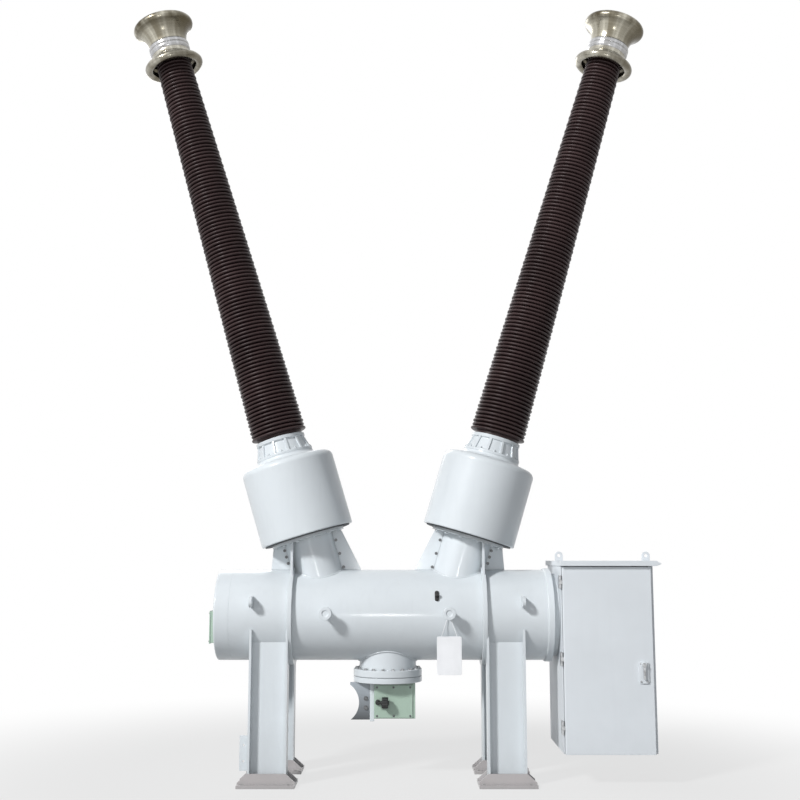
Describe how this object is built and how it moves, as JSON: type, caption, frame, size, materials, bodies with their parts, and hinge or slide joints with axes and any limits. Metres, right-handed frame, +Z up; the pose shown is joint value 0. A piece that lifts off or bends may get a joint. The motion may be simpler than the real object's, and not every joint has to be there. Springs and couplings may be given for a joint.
{
  "type": "dead-tank gas circuit breaker pole",
  "caption": "Dead-tank gas circuit breaker pole: horizontal gas tank on columns, splayed porcelain bushings with round shields, and a mechanism cabinet with a hinged door.",
  "frame": {"origin": "on the ground, below the middle of the tank, midway between the bushings", "axes": "+X along the tank towards the cabinet, +Y to the back, away from the door, +Z up"},
  "size_m": [3.7146, 0.8, 5.3657],
  "materials": {
    "paint": "satin pale blue-grey paint",
    "cast_paint": "painted casting",
    "cabinet_paint": "powder-coated sheet",
    "glaze": "dark brown glaze",
    "alloy": "spun, bare",
    "grey_green_paint": "satin grey-green paint",
    "dark_plastic": "moulded, black",
    "tag": "blank white sheet",
    "steel": "plated steel"
  },
  "bodies": {
    "breaker": {"tank_shell": "paint", "tank_left_cover": "paint", "end_junction_box": "grey_green_paint", "tank_right_flange": "paint", "adapter_flange": "paint", "stiffener_rings": "paint", "leg_left": "paint", "leg_right": "paint", "feet_left": "paint", "feet_right": "paint", "earthing_plate": "paint", "turret_left": "paint", "turret_right": "paint", "gussets_left": "paint", "gussets_right": "paint", "ct_housing_left": "paint", "ct_housing_right": "paint", "collar_left": "cast_paint", "collar_right": "cast_paint", "porcelain_left": "glaze", "porcelain_right": "glaze", "top_cap_left": "alloy", "top_cap_right": "alloy", "shield_lower_left": "alloy", "shield_lower_right": "alloy", "shield_upper_left": "alloy", "shield_upper_right": "alloy", "port_neck": "paint", "port_flanges": "paint", "gas_box": "grey_green_paint", "gas_knob": "dark_plastic", "port_bracket": "paint", "trunnions": "paint", "lifting_lugs": "paint", "filling_valve": "dark_plastic", "hanging_tag": "tag", "cabinet_left_wall": "cabinet_paint", "cabinet_right_wall": "cabinet_paint", "cabinet_back_wall": "cabinet_paint", "cabinet_floor": "cabinet_paint", "cabinet_roof": "cabinet_paint", "hinge_leaves": "steel"},
    "door": {"cabinet_door": "cabinet_paint", "door_knuckles": "steel", "lock_plate": "cabinet_paint"},
    "handle": {"door_handle": "steel"}
  },
  "joints": [
    {"name": "door_hinge", "type": "hinge", "parent": "breaker", "child": "door", "pos_m": [1.123, -0.345, 0.8], "axis": [0, 0, -1], "range_deg": [0, 120]},
    {"name": "handle_turn", "type": "hinge", "parent": "door", "child": "handle", "pos_m": [1.647, -0.356, 0.765], "axis": [0, 1, 0], "range_deg": [0, 90]}
  ]
}
